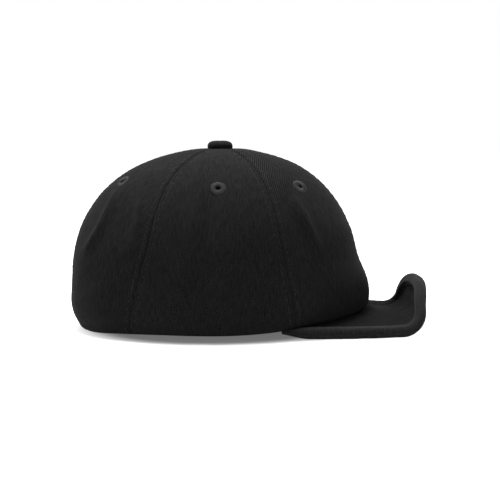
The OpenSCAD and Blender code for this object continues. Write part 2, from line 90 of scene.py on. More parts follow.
def put(tree, kind, sockets=None, out=0, **settings):
    """Adds a node and returns the output called out."""
    node = tree.nodes.new(kind)
    for name, value in settings.items():
        setattr(node, name, value)
    feed(tree, node, sockets or {})
    return node.outputs[out]


def math_node(tree, operation, *values):
    return put(tree, "ShaderNodeMath", dict(enumerate(values)), operation=operation)


def ranged(tree, value, low, high, start=0.0, end=1.0, **settings):
    """Takes value from the range start to end over to the range low to high."""
    sockets = {"Value": value, "From Min": start, "From Max": end, "To Min": low, "To Max": high}
    return put(tree, "ShaderNodeMapRange", sockets, **settings)


def seen(tree):
    """1 for rays from the eye and for mirrored ones, 0 for those that light the cap."""
    rays = tree.nodes.new("ShaderNodeLightPath").outputs
    return math_node(tree, "MAXIMUM", rays["Is Camera Ray"], rays["Is Glossy Ray"])


def make_stage():
    bpy.ops.mesh.primitive_plane_add(size=12, location=(0, 0, 0))
    floor = bpy.context.object
    floor.name = "floor"
    material, tree, bsdf = node_tree("pale_floor")
    # To the eye and in reflections the floor glows white, turned down near the cap: a painted shadow round
    # its foot, which the cap's lower edges also mirror as painted shade
    place = put(tree, "ShaderNodeTexCoord", out="Object")
    reach = put(tree, "ShaderNodeVectorMath", {0: place}, "Value", operation="LENGTH")
    glow_with_painted_shadow = ranged(tree, reach, 0.15, 1.1, *painted_shadow_edge, interpolation_type="SMOOTHSTEP")
    feed(tree, bsdf, {"Base Color": (0.6, 0.6, 0.6, 1), "Roughness": 0.9, "Specular IOR Level": 0.1,
                      "Emission Color": (1, 1, 1, 1),
                      "Emission Strength": math_node(tree, "MULTIPLY", seen(tree), glow_with_painted_shadow)})
    floor.data.materials.append(material)

    world = bpy.data.worlds.new("studio")
    bpy.context.scene.world = world
    world.use_nodes = True
    tree = world.node_tree
    level = ranged(tree, seen(tree), 0.13, 1.0)
    feed(tree, tree.nodes["Background"], {"Strength": level, "Color": (1, 1, 1, 1)})

    area_light("overhead", (-0.1, 0.1, 1.3), (0.02, 0, 0.06), 0.45, 20)
    area_light("front", (1.25, -0.15, 0.75), (0.08, 0, 0.05), 0.7, 0.35)
    area_light("fill", (-0.3, -1.5, 0.5), (0, 0, 0.06), 0.9, 1.8)


def make_camera():
    camera = bpy.data.cameras.new("camera")
    camera.lens, camera.sensor_width = 100, 36
    obj = bpy.data.objects.new("camera", camera)
    eye = Vector(set_down([21.5, -1000, 144]))
    aim = Vector(set_down([21.5, 0, 56]))
    back = (eye - aim).normalized()
    up = Vector((math.sin(lean), 0, math.cos(lean)))
    side = up.cross(back).normalized()
    up = back.cross(side)
    turn = Matrix((side, up, back)).transposed().to_4x4()
    obj.matrix_world = Matrix.Translation(eye) @ turn
    bpy.context.collection.objects.link(obj)
    bpy.context.scene.camera = obj


make_stage()
make_camera()
bpy.context.scene.view_settings.view_transform = "Standard"


# ---- Crown panels ------------------------------------------------------------------------------
# Six panels of black cotton twill, cut to a dome and sewn edge to edge. Each is a closed sheet with
# its thickness, drawn in at the seams, puckered beside them and creased where the crown has slumped.
half_l, half_w, top_z, widest = 107.0, 87.0, 128.6, 33.0
crown_n, front_flat = 2.3, 7.4
hem_tuck, rear_tuck, side_hem, front_hem = 3.0, 9.3, 5.4, 17.0
panel_t = 1.0
front_seam, rear_seam = 60.5, 122.0
front_swing, rear_swing = 6.0, 10.0
top_v = 0.985
rad = np.radians


def hem_z(a):
    c = np.cos(rad(a))
    return side_hem + (front_hem / 2 - side_hem) * c ** 2 + front_hem / 2 * (0.1 * c + 0.9 * c ** 3)


def plan_r(a, d):
    return 1 / np.sqrt((np.cos(rad(a)) / (half_l - d)) ** 2 + (np.sin(rad(a)) / (half_w - d)) ** 2)


def flat_at(a, z):
    rise = np.sin(np.pi * np.clip((z - widest) / (top_z - widest), 0, 1))
    low = 2.2 * np.exp(-((z - 52) / 12) ** 2)
    return np.maximum(0, np.cos(rad(a))) ** 2 * (front_flat * np.maximum(0, rise) ** 1.25 + low)


def row_z(a, v, d):
    up = widest + (top_z - d - widest) * np.maximum(0, np.sin(np.pi / 2 * np.maximum(v, 0))) ** (2 / crown_n)
    return np.where(v < 0, widest + v * (widest - hem_z(a)), up)


def crown(a, v, d):
    """Points in mm on the crown at direction a (degrees), row v (-1 hem, 0 widest, 1 top), depth d."""
    a, v = np.broadcast_arrays(np.asarray(a, float), np.asarray(v, float))
    z = row_z(a, v, d)
    tuck = hem_tuck + (rear_tuck - hem_tuck) * np.maximum(0, -np.cos(rad(a))) ** 2
    low = plan_r(a, d) - tuck * np.maximum(0, -v) ** 3.4
    high = plan_r(a, d) * np.maximum(0, np.cos(np.pi / 2 * np.maximum(v, 0))) ** (2 / crown_n)
    r = np.where(v < 0, low, high) - flat_at(a, z)
    return np.stack([r * np.cos(rad(a)), r * np.sin(rad(a)), z], -1)


def crown_normal(a, v):
    across = crown(a + 0.3, v, 0) - crown(a - 0.3, v, 0)
    up = crown(a, v + 0.004, 0) - crown(a, v - 0.004, 0)
    n = np.cross(across, up)
    return n / np.linalg.norm(n, axis=-1, keepdims=True)


def seam_a(i, v):
    v = np.asarray(v, float)
    swing_z = widest + 0.4 * (top_z - widest)
    swing = np.maximum(0, (swing_z - row_z(90, v, 0)) / (swing_z - side_hem)) ** 1.3
    return [0 * v, front_seam - front_swing * swing, rear_seam + rear_swing * swing, 180 + 0 * v][i]


# Soft creases: points along each, in mm from the crown's centre and the ground, height and width
creases = [
    ([(-67, 105), (-72, 95), (-76, 86), (-82, 73), (-89, 63), (-94, 57)], 3.0, 3.0),
    ([(-50, 112), (-52, 98), (-54, 82), (-58, 62)], 1.6, 4.0),
    ([(-54, 110), (-58, 100), (-61, 88), (-64, 74), (-66, 62)], -1.6, 5.0),
    ([(-70, 40), (-86, 30), (-98, 22)], 0.9, 5.0),
    ([(50, 98), (53, 91), (58, 81), (65, 67), (69, 56)], 2.6, 3.4),
    ([(44, 98), (48, 88), (52, 72), (56, 57)], -1.6, 4.4),
    ([(70, 96), (78, 76), (84, 60)], -0.6, 5.0),
    ([(-15, 124), (-14, 112), (-12, 98), (-12, 76)], 3.0, 3.2),
    ([(-23, 121), (-23, 106), (-22, 76)], -1.2, 4.2),
    ([(-5, 104), (-4, 83), (-4, 66)], -1.4, 3.6),
    ([(20, 112), (24, 84), (26, 60)], 0.9, 8.0),
    ([(-20, 52), (-27, 42), (-34, 26)], 1.3, 5.0),
    ([(-13, 50), (-18, 40), (-22, 28)], -1.0, 4.5),
    ([(6, 50), (0, 38), (-9, 29)], 1.8, 4.5),
    ([(16, 50), (10, 40), (4, 28)], -1.3, 5.0),
    ([(50, 31), (59, 27), (74, 25)], 0.6, 5.0),
    ([(-44, 60), (-48, 40), (-50, 22)], 0.9, 5.0),
]


def crease_height(x, z):
    total = np.zeros_like(x)
    for points, height, width in creases:
        best, part = np.full_like(x, 1e9), np.zeros_like(x)
        for n, ((x0, z0), (x1, z1)) in enumerate(zip(points[:-1], points[1:])):
            dx, dz = x1 - x0, z1 - z0
            t = np.clip(((x - x0) * dx + (z - z0) * dz) / (dx ** 2 + dz ** 2), 0, 1)
            away = np.hypot(x - x0 - t * dx, z - z0 - t * dz)
            part = np.where(away < best, (n + t) / (len(points) - 1), part)
            best = np.minimum(best, away)
        total += height * np.exp(-(best / width) ** 2) * np.minimum(1, 3.5 * part * (1 - part) + 0.12)
    return total


def slow_noise(p, scale, seed):
    """Smooth noise between about -1 and 1 from a few fixed sine waves; p in mm."""
    rng = np.random.default_rng(seed)
    total = np.zeros(p.shape[:-1])
    for _ in range(9):
        k = rng.normal(size=3)
        k *= rng.uniform(0.6, 1.6) * 2 * math.pi / scale / np.linalg.norm(k)
        total += np.sin(p @ k + rng.uniform(0, 2 * math.pi))
    return total / 4


def new_piece(name, vertices, faces, material, uv=None):
    """A mesh object from points in metres; uv holds one pair in metres for each vertex."""
    mesh = bpy.data.meshes.new(name)
    mesh.from_pydata(np.asarray(vertices).reshape(-1, 3).tolist(), [], faces)
    mesh.polygons.foreach_set("use_smooth", [True] * len(mesh.polygons))
    if uv is not None:
        layer = mesh.uv_layers.new(name="UVMap")
        loops = np.empty(len(mesh.loops), int)
        mesh.loops.foreach_get("vertex_index", loops)
        layer.data.foreach_set("uv", np.asarray(uv).reshape(-1, 2)[loops].ravel())
    mesh.materials.append(material)
    obj = bpy.data.objects.new(name, mesh)
    bpy.context.collection.objects.link(obj)
    return obj


def sheet_faces(rows, cols, closed=False, gone=()):
    """Faces of a closed sheet: an outer grid of points, then an inner one, less the cells gone."""
    faces = []
    inner = rows * cols
    last = cols if closed else cols - 1
    kept = {(i, j) for i in range(rows - 1) for j in range(last)} - set(gone)
    for i, j in kept:
        k = (j + 1) % cols
        corners = [i * cols + j, i * cols + k, (i + 1) * cols + k, (i + 1) * cols + j]
        faces.append(tuple(corners))
        faces.append(tuple(inner + c for c in corners[::-1]))
        after, before = (k, (j - 1) % cols) if closed else (j + 1, j - 1)
        for n, cell in enumerate([(i - 1, j), (i, after), (i + 1, j), (i, before)]):
            if cell not in kept:
                a, b = corners[n], corners[(n + 1) % 4]
                faces.append((b, a, inner + a, inner + b))
    return faces


def sheet_piece(name, outer, inner, material, flip=False, closed=False, gone=(), uv=None):
    """A closed sheet between two grids of points in mm; flip is for one mirrored to the right."""
    faces = sheet_faces(*outer.shape[:2], closed, gone)
    if flip:
        faces = [f[::-1] for f in faces]
    points = set_down(np.concatenate([outer.reshape(-1, 3), inner.reshape(-1, 3)]))
    return new_piece(name, points, faces, material, None if uv is None else np.concatenate([uv, uv]))


def noise(tree, vector, scale, detail=2.0, roughness=0.5):
    sockets = {"Vector": vector, "Scale": scale, "Detail": detail, "Roughness": roughness}
    return put(tree, "ShaderNodeTexNoise", sockets, "Fac")


def bumped(tree, bsdf, height, strength, distance):
    sockets = {"Height": height, "Strength": strength, "Distance": distance}
    feed(tree, bsdf, {"Normal": put(tree, "ShaderNodeBump", sockets)})


def toned(tree, bsdf, color, tone):
    """Colours the surface, lighter or darker by tone."""
    paint = put(tree, "ShaderNodeVectorMath", {0: color, "Scale": tone}, operation="SCALE")
    feed(tree, bsdf, {"Base Color": paint})


def twill(name, color, pitch=1.15, strength=0.6, turn=45, shine=0.14, top_glints=1.0):
    """Cotton twill from the piece's own UV map: fine diagonal ribs, slubs and a slight fade. High up the
    piece the ribs show top_glints times more strongly: painted glints where the top catches the light."""
    material, tree, bsdf = node_tree(name)
    uv = put(tree, "ShaderNodeUVMap", uv_map="UVMap")
    turned = {"Vector": uv, "Rotation": (0, 0, math.radians(turn))}
    waves = {"Vector": put(tree, "ShaderNodeMapping", turned), "Scale": 2 * math.pi / 20 / (pitch * MM),
             "Distortion": 2.2, "Detail": 2, "Detail Scale": 2.0}
    ribs = put(tree, "ShaderNodeTexWave", waves, "Fac", bands_direction="X")
    slubs = noise(tree, put(tree, "ShaderNodeMapping", turned | {"Scale": (1, 0.16, 1)}), 900, 5, 0.7)
    bumped(tree, bsdf, math_node(tree, "MULTIPLY_ADD", slubs, 0.8, ribs), strength, 0.00022)

    # Painted glints: high up the piece the ribs' tone swings further, as where the top catches the overhead
    # light
    along = put(tree, "ShaderNodeSeparateXYZ", {0: uv}, "Y")
    high_up = ranged(tree, along, 0, top_glints - 1, 0.085, 0.13)
    swing = math_node(tree, "MULTIPLY_ADD", high_up, 0.3, 0.3)
    rib_tone = ranged(tree, ribs, 0.97, math_node(tree, "ADD", swing, 0.97), 0.5, clamp=False)
    tone = math_node(tree, "MULTIPLY", ranged(tree, slubs, 0.35, 1.8, 0.25, 0.75), rib_tone)
    fade = ranged(tree, noise(tree, uv, 22, 3), 0.88, 1.14, 0.3, 0.7)
    toned(tree, bsdf, color, math_node(tree, "MULTIPLY", tone, fade))
    feed(tree, bsdf, {"Roughness": ranged(tree, noise(tree, uv, 1500), 0.78, 0.98),
                      "Specular IOR Level": shine, "Sheen Weight": shine / 5, "Sheen Roughness": 0.5})
    return material


black_twill = twill("black_twill", (0.0155, 0.0155, 0.0160), shine=0.06, top_glints=3.0)


def panel_at(i, side, v, t):
    """Outer and inner points in mm of panel i (0 front, 1 side, 2 back), rows v by shares t across it."""
    a0, a1 = seam_a(i, v), seam_a(i + 1, v)
    a = a0 + (a1 - a0) * t
    base = crown(a, v, 0)
    x, z = base[..., 0], base[..., 2]
    r = np.hypot(x, base[..., 1])
    to_seam = np.minimum(np.abs(a - a0), np.abs(a1 - a)) * math.pi / 180 * r
    place = base * [1, side, 1]
    along = np.cumsum(np.linalg.norm(np.diff(base, axis=0, prepend=base[:1]), axis=-1), axis=0)
    near_top = np.clip(r / 25, 0, 1)
    groove = -0.6 * np.exp(-(to_seam / 0.5) ** 2) * np.clip(r / 12, 0.2, 1)
    welt = 0.22 * np.exp(-((to_seam - 1.9) / 1.2) ** 2) * near_top
    dip = -0.14 * np.exp(-((to_seam - stitch_off) / 0.5) ** 2) * near_top
    pucker = 0.15 * np.sin(along * 2 * math.pi / 5.2 + 2.4 * slow_noise(place, 26, 3 + i)) \
        * np.exp(-((to_seam - 3.0) / 2.6) ** 2) * near_top
    puff = 0.9 * np.sin(np.pi * np.clip(t, 0, 1)) ** 0.8 * near_top - 0.5 * near_top
    fade_in = np.clip((v + 1) / 0.15, 0, 1)
    near_seam = np.clip(to_seam / 6, 0.15, 1)
    # The far side has slumped a little differently from the near one
    shift = 0 if side < 0 else 6 * slow_noise(base, 90, 8)
    soft = crease_height(x + shift, z) * (1 if side < 0 else 0.8) * fade_in * near_seam
    wavy = 0.32 * slow_noise(place, 42, 11 + i) * fade_in * near_seam * near_top
    fine = 0.06 * slow_noise(place, 11, 21 + i) * fade_in
    ahead = np.maximum(0, np.cos(rad(a))) ** 2
    behind = np.maximum(0, -np.cos(rad(a))) ** 2
    full = ahead * (0.9 * np.exp(-((z - 84) / 18) ** 2) - 0.3 * np.exp(-((z - 115) / 12) ** 2)
                    + 1.6 * np.exp(-((z - 19) / 11) ** 2)) \
        + behind * (0.8 * np.exp(-((z - 18) / 14) ** 2) - 0.2 * np.exp(-((z - 96) / 20) ** 2)) \
        + 0.8 * np.exp(-((r - 16) / 14) ** 2) * (v > 0)
    # The hem is folded under: the edge rounds over its last two millimetres
    above_hem = z - hem_z(a)
    fold = np.exp(-(above_hem / 1.1) ** 2)
    hem_roll = -0.9 * fold + 0.35 * np.exp(-((above_hem - 3.0) / 1.8) ** 2)
    n = crown_normal(a, v)
    slack = puff + soft + wavy + fine + full
    # The cloth can sink only as far as the shell behind it
    slack = -0.7 + np.logaddexp(0, (slack + 0.7) * 3) / 3
    out = groove + welt + dip + pucker + slack + hem_roll
    outer = (base + n * out[..., None]) * [1, side, 1]
    inner = (base - n * (panel_t + 0.1 - 0.4 * fold)[..., None]) * [1, side, 1]
    middle = (seam_a(i, 0.0) + seam_a(i + 1, 0.0)) / 2
    uv = np.stack([r * np.sin(rad(a - middle)) * side, along], -1) * MM
    return outer, inner, uv


def eyelet_centre(i, side):
    """Centre of panel i's eyelet in mm on the cloth, and the outward direction there."""
    a, v = eyelet_a[i], np.array([[eyelet_v[i] - 0.01], [eyelet_v[i]]])
    lo, hi = seam_a(i, v), seam_a(i + 1, v)
    outer = panel_at(i, side, v, (a - lo) / (hi - lo))[0][1, 0]
    return outer, crown_normal(a, eyelet_v[i]) * [1, side, 1]


def make_panel(i, side, word):
    name = ("front", "side", "back")[i] + "_panel_" + word
    rows, cols = 150, (74, 64, 74)[i]
    below = rows // 3
    v = np.concatenate([np.linspace(-1, 0, below, endpoint=False), np.linspace(0, top_v, rows - below)])
    # Columns crowd towards the two seams, where the relief is finest
    t = np.linspace(0, 1, cols)
    t = 0.35 * t + 0.65 * (0.5 - 0.5 * np.cos(np.pi * t))
    vv, tt = np.meshgrid(v, t, indexing="ij")
    outer, inner, uv = panel_at(i, side, vv, tt)
    # The cloth stops under the eyelet's stitches
    middles = (outer[:-1, :-1] + outer[1:, 1:]) / 2
    near = np.linalg.norm(middles - eyelet_centre(i, side)[0], axis=-1) < (eyelet_hole + eyelet_outer) / 2
    gone = zip(*(k.tolist() for k in np.nonzero(near)))
    panel = sheet_piece(name + "_twill", outer, inner, black_twill, side < 0, gone=gone, uv=uv)
    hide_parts(name)
    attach(panel, "cap")


stitch_off = 3.6
eyelet_a, eyelet_v = (37.0, 90.0, 156.0), (0.495, 0.495, 0.522)
eyelet_outer, eyelet_hole = 5.7, 1.6
for word, side in (("left", 1), ("right", -1)):
    for i in range(3):
        make_panel(i, side, word)


# ---- Peak --------------------------------------------------------------------------------------
# A plastic board between two twill covers, sewn under the crown's hem. Its front is turned up, and
# every layer bends there, between the cap's body and the lip's.
tip_x, peak_half, start_x, peak_n, peak_z = 162.9, 80.0, 37.0, 3.1, 6.3
board_t, cover_t, layer_gap = 2.0, 0.8, 0.3
roll_w = 8.6
turn_x, turn_r, lean_r = 124.9, 11.5, -85.0
bend_len = turn_r * math.pi / 2
root_a, hem_lap = 53.0, 3.0
inset = roll_w + 0.3
cover_low = board_t / 2 + layer_gap


def outline(s, m):
    """The flattened peak's outline in mm, moved in by m, at angle s: 0 at the tip, 90 at the side."""
    s = np.asarray(s, float)
    x = start_x + (tip_x - m - start_x) * np.maximum(0, np.cos(rad(s))) ** (2 / peak_n)
    y = (peak_half - m) * np.abs(np.sin(rad(s))) ** (2 / peak_n) * np.sign(s)
    return np.stack([x, y], -1)


def bend(x, y, w):
    """Bends the flattened peak up at its front; w is the height above its middle layer."""
    s = x - turn_x
    f = np.where(s <= bend_len, s / turn_r, math.pi / 2 + (s - bend_len) / lean_r)
    arc = np.stack([turn_x + (turn_r - w) * np.sin(f), y, peak_z + turn_r - (turn_r - w) * np.cos(f)], -1)
    upper = np.stack([turn_x + turn_r - lean_r + (lean_r - w) * np.sin(f), y,
                      peak_z + turn_r - (lean_r - w) * np.cos(f)], -1)
    flat = np.stack([x, y, peak_z + w], -1)
    bent = np.where((s <= 0)[..., None], flat, np.where((s <= bend_len)[..., None], arc, upper))
    # The fold bows forward in the middle, and the far side has sprung up by a millimetre
    onset = np.clip((s + 25) / 35, 0, 1)
    bow = 4.5 - np.where(y < 0, 5.0, 9.0) * (y / peak_half) ** 2
    bent[..., 0] += bow * onset ** 2 * (3 - 2 * onset)
    bent[..., 2] += 0.00018 * np.maximum(0, y) ** 2
    return bent


def root_line(a):
    edge = crown(a, -1.0, 0)
    r = np.hypot(edge[..., 0], edge[..., 1]) - hem_lap
    return np.stack([r * np.cos(rad(a)), r * np.sin(rad(a))], -1)


def peak_sheet(name, low, high, material, nodes, relief, rows=150, cols=110, edge_m=roll_w - 0.4):
    """One layer of the peak between the heights low and high, from the crown's hem to its roll."""
    p = np.linspace(-1, 1, rows)
    q = np.linspace(0, 1, cols)
    pp, qq = np.meshgrid(p, q, indexing="ij")
    root = root_line(root_a * pp)
    side_s = math.degrees(math.acos(((root_line(np.array(root_a))[0] + hem_lap - start_x)
                                     / (tip_x - edge_m - start_x)) ** (peak_n / 2)))
    edge = outline(side_s * pp, edge_m)
    at = root + (edge - root) * qq[..., None]
    reach = np.linalg.norm(edge - root, axis=-1)
    fall = np.clip(qq * reach / np.minimum(reach, 40), 0, 1)
    lift_at_root = hem_z(root_a * pp) - layer_gap - cover_low - cover_t - peak_z
    rise = lift_at_root * (1 - fall) ** 2 * (1 + fall)
    bump = relief(at[..., 0], at[..., 1], qq)
    outer = bend(at[..., 0], at[..., 1], high + rise + bump)
    inner = bend(at[..., 0], at[..., 1], low + rise + bump * 0.3)
    sheet = sheet_piece(name, outer, inner, material, uv=at * MM)
    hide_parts(*nodes)
    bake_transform(sheet)
    return sheet


def cover_relief(x, y, q):
    flat = np.stack([x, y, 0 * x], -1)
    edge = -0.35 * np.exp(-((1 - q) / 0.03) ** 2)
    fold = 0.22 * np.exp(-((x - turn_x - 7) / 7) ** 2)
    fold *= np.sin(y * 2 * math.pi / 19 + 1.5 * slow_noise(flat, 40, 5))
    return edge + fold + 0.18 * slow_noise(flat, 26, 6) + 0.05 * slow_noise(flat, 8, 7)


def under_relief(x, y, q):
    return -cover_relief(x, y, q) * 0.6


def flat_relief(x, y, q):
    return 0 * x


def moulded(name, color, rough=0.45, grain=1400):
    """Moulded plastic by Object coordinates: a fine even grain, faint flow marks and scuffs."""
    material, tree, bsdf = node_tree(name)
    place = put(tree, "ShaderNodeTexCoord", out="Object")
    bumped(tree, bsdf, noise(tree, place, grain), 0.15, 0.0001)
    slow = noise(tree, place, 45, 6)
    toned(tree, bsdf, color, ranged(tree, slow, 0.8, 1.2))
    feed(tree, bsdf, {"Roughness": ranged(tree, slow, rough - 0.1, rough + 0.15)})
    return material


board_plastic = moulded("board_plastic", (0.05, 0.05, 0.052), 0.5)
peak_sheet("peak_board_sheet", -board_t / 2, board_t / 2, board_plastic, ["peak_board", "lip_board"],
           flat_relief, 90, 70, inset)
# The peak's covers are the cap's black twill painted darker than the crown: painted shade where the crown
# and the turned-up lip keep the light off the brim and the lip's inner face
peak_twill_painted_shade = twill("peak_twill_painted_shade", (0.0066, 0.0066, 0.0069), shine=0.05)
peak_sheet("peak_top_twill", cover_low, cover_low + cover_t, peak_twill_painted_shade,
           ["peak_top_cover", "lip_top_cover"], cover_relief)
peak_under = peak_sheet("peak_under_twill", -cover_low, -cover_low - cover_t, peak_twill_painted_shade,
                        ["peak_under_cover", "lip_under_cover"], under_relief)
peak_under.data.flip_normals()


# ---- Peak's edge roll --------------------------------------------------------------------------
# A bias strip of twill sewn round the peak's edge over a soft cord, with a forming wire in its
# middle. Its inner edge is pressed flat by a row of stitches, and its seam shows as a line outside.
roll_t, end_rise, end_share, end_len = 8.2, 0.8, 0.14, 26.0


def roll_rings(half_w, half_t, count, around, relief=None, last=89.5):
    s = np.linspace(last, -last, count)
    path = outline(s, roll_w / 2)
    ahead = np.gradient(path, axis=0)
    ahead /= np.linalg.norm(ahead, axis=-1, keepdims=True)
    out = np.stack([-ahead[:, 1], ahead[:, 0]], -1)
    u = np.clip((path[:, 0] - start_x) / end_len, 0, 1)
    grow = end_share + (1 - end_share) * u * u * (3 - 2 * u)
    length = np.cumsum(np.linalg.norm(np.diff(path, axis=0, prepend=path[:1]), axis=-1))
    f = np.linspace(0, 2 * math.pi, around, endpoint=False)
    ll, ff = np.meshgrid(length, f, indexing="ij")
    r = 1.0 if relief is None else relief(ll, ff)
    c = half_w * grow[:, None] * np.cos(ff) * r
    w = half_t * grow[:, None] * np.sin(ff) * r + end_rise * (1 - grow[:, None])
    x = path[:, None, 0] + out[:, None, 0] * c
    y = path[:, None, 1] + out[:, None, 1] * c
    uv = np.stack([ll, ff * (half_w + half_t) / 2], -1) * MM
    return bend(x, y, w), uv


def roll_relief(length, f):
    """Relief on the roll as a share of its radius, by length in mm and angle (0 outside, 90 up)."""
    seam_at = math.radians(-24)
    seam = -0.10 * np.exp(-((np.mod(f - seam_at + math.pi, 2 * math.pi) - math.pi) / 0.09) ** 2)
    lap = 0.05 * np.exp(-((np.mod(f - seam_at - 0.45 + math.pi, 2 * math.pi) - math.pi) / 0.28) ** 2)
    p = np.stack([length, f * 4, 0 * f], -1)
    inner_side = np.exp(-((np.mod(f - math.pi + math.pi, 2 * math.pi) - math.pi) / 1.1) ** 2)
    pucker = 0.045 * np.sin(length * 2 * math.pi / 6.2 + 2.2 * slow_noise(p, 37, 9)) * inner_side
    square = -0.05 * np.cos(4 * f)
    ridge = 0.12 * np.exp(-((f - 2.0) / 0.11) ** 2)
    return 1 + seam + lap + pucker + square + ridge + 0.022 * slow_noise(p, 16, 10)


def tube_faces(count, around):
    faces = []
    for i in range(count - 1):
        for j in range(around):
            k = (j + 1) % around
            faces.append((i * around + j, i * around + k, (i + 1) * around + k, (i + 1) * around + j))
    faces.append(tuple(range(around))[::-1])
    faces.append(tuple((count - 1) * around + j for j in range(around)))
    return faces


def peak_tube(name, half_w, half_t, count, around, material, nodes, relief=None, last=89.5):
    rings, uv = roll_rings(half_w, half_t, count, around, relief, last)
    tube = new_piece(name, set_down(rings.reshape(-1, 3)), tube_faces(count, around), material, uv)
    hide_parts(*nodes)
    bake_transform(tube)


bias_twill = twill("bias_twill", (0.0150, 0.0150, 0.0155), turn=80)
wire_r = 0.9


def metal(name, color, rough):
    """Drawn or pressed steel by Object coordinates: fine streaks and a little tarnish."""
    material, tree, bsdf = node_tree(name)
    place = put(tree, "ShaderNodeTexCoord", out="Object")
    drawn = put(tree, "ShaderNodeMapping", {"Vector": place, "Scale": (60, 60, 1500)})
    toned(tree, bsdf, color, ranged(tree, noise(tree, place, 220), 0.75, 1.1))
    streaks = ranged(tree, noise(tree, drawn, 1, 4), rough - 0.08, rough + 0.14)
    feed(tree, bsdf, {"Roughness": streaks, "Metallic": 1.0})
    return material


spring_steel = metal("spring_steel", (0.42, 0.42, 0.43), 0.32)
peak_tube("peak_wire_rod", wire_r, wire_r, 260, 16, spring_steel,
          ["peak_wire_left", "peak_wire_right", "lip_wire"], last=84)
peak_tube("peak_edge_roll", roll_w / 2, roll_t / 2, 420, 44, bias_twill,
          ["peak_roll_left", "peak_roll_right", "lip_roll"], roll_relief)


# ---- Eyelets -----------------------------------------------------------------------------------
# An embroidered air hole in each panel: a ring of close satin stitches laid over the cloth's edge,
# with a dark hole through the middle. The stitches stand a little proud on both faces.
eyelet_proud = 0.85


def thread_material(name, color, rough=0.62):
    """Shiny twisted thread: a fine diagonal twist as bump over a plain dark colour."""
    material, tree, bsdf = node_tree(name)
    twist = noise(tree, put(tree, "ShaderNodeTexCoord", out="Object"), 2600, 3)
    bumped(tree, bsdf, twist, 0.4, 0.0001)
    toned(tree, bsdf, color, ranged(tree, twist, 0.6, 1.4))
    feed(tree, bsdf, {"Roughness": rough, "Specular IOR Level": 0.3})
    return material


black_thread = thread_material("black_thread", (0.0105, 0.0105, 0.011))


def make_eyelet(i, side, word):
    name = ("front", "side", "back")[i] + "_eyelet_" + word
    centre, normal = eyelet_centre(i, side)
    across = np.cross([0, 0, 1], normal)
    across /= np.linalg.norm(across)
    up = np.cross(normal, across)
    turns, stitches = 312, 52
    # The ring's section: radius share from hole to rim, and height, over the top and back underneath
    section = [(0.0, -1.3), (0.0, 0.2), (0.06, 0.6), (0.22, 0.95), (0.45, 1.0), (0.68, 0.85), (0.88, 0.45),
               (1.0, 0.0), (0.97, -0.5), (0.8, -1.2), (0.5, -1.7), (0.15, -1.6)]
    points = []
    for k in range(turns):
        f = 2 * math.pi * k / turns
        ridge = abs(math.sin(stitches / 2 * f))
        wander = 0.12 * math.sin(3 * f + i) + 0.07 * math.sin(7 * f + 2 * i)
        for share, height in section:
            r = eyelet_hole + (eyelet_outer - eyelet_hole + wander + 0.2 * ridge) * share
            rise = eyelet_proud * height + 0.14 * ridge * (height > 0.3)
            spoke = math.cos(f) * across + math.sin(f) * up
            points.append(centre + r * spoke + normal * (rise - r * r / 190))
    m = len(section)
    faces = []
    for k in range(turns):
        this, after = k * m, (k + 1) % turns * m
        faces += [(this + j, this + (j + 1) % m, after + (j + 1) % m, after + j) for j in range(m)]
    ring = new_piece(name + "_satin", set_down(np.array(points)), faces, black_thread)
    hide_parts(name)
    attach(ring, "cap")


for word, side in (("left", 1), ("right", -1)):
    for i in range(3):
        make_eyelet(i, side, word)


# ---- Button ------------------------------------------------------------------------------------
# A pressed metal button covered in the same twill, clamped over the point where the six panels
# meet. The cover is drawn tight, with small tucks where it is gathered under the rim.
button_r, button_h = 9.6, 6.1


def make_button():
    turns, levels = 120, 26
    rings = []
    for j in range(levels):
        u = j / (levels - 1)
        # Up the rim, over a rounded shoulder and across a nearly flat top
        g = 1.55 * u
        r = button_r * math.cos(g) ** 0.55 * (1 - 0.08 * (1 - u) ** 3)
        z = button_h * (0.04 + 0.96 * math.sin(g) ** 0.8)
        ring = []
        for k in range(turns):
            f = 2 * math.pi * k / turns
            tuck = 0.10 * math.sin(17 * f + 0.6 * math.sin(3 * f)) * (1 - u) ** 2
            sag = 0.10 * math.sin(2 * f + 1) * u
            ring.append(((r + tuck) * math.cos(f), (r + tuck) * math.sin(f), top_z + z + 0.1 + sag))
        rings.append(ring)
    rings = np.array(rings)
    under = rings[0] * [0.82, 0.82, 1] - [0, 0, 0.1]
    points = np.concatenate([under[None], rings])
    faces = tube_faces(levels + 1, turns)
    cover = new_piece("button_twill", set_down(points), faces, black_twill, points[..., :2] * MM)
    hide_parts("button_cover")
    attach(cover, "cap")


make_button()
plated_steel = metal("plated_steel", (0.55, 0.55, 0.56), 0.28)
for node in ("button_rivet", "button_washer"):
    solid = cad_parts[node]
    solid.data.materials.clear()
    solid.data.materials.append(plated_steel)


# ---- Stitches ----------------------------------------------------------------------------------
# Each seam is topstitched on both sides, and the peak's roll is held by a row along its inner edge.
# Geometry Nodes lays one short thread after another along plain lines, each a little out of true.
def bake(obj):
    """Turns the object's modifiers into plain mesh."""
    depsgraph = bpy.context.evaluated_depsgraph_get()
    mesh = bpy.data.meshes.new_from_object(obj.evaluated_get(depsgraph))
    obj.modifiers.clear()
    obj.data = mesh


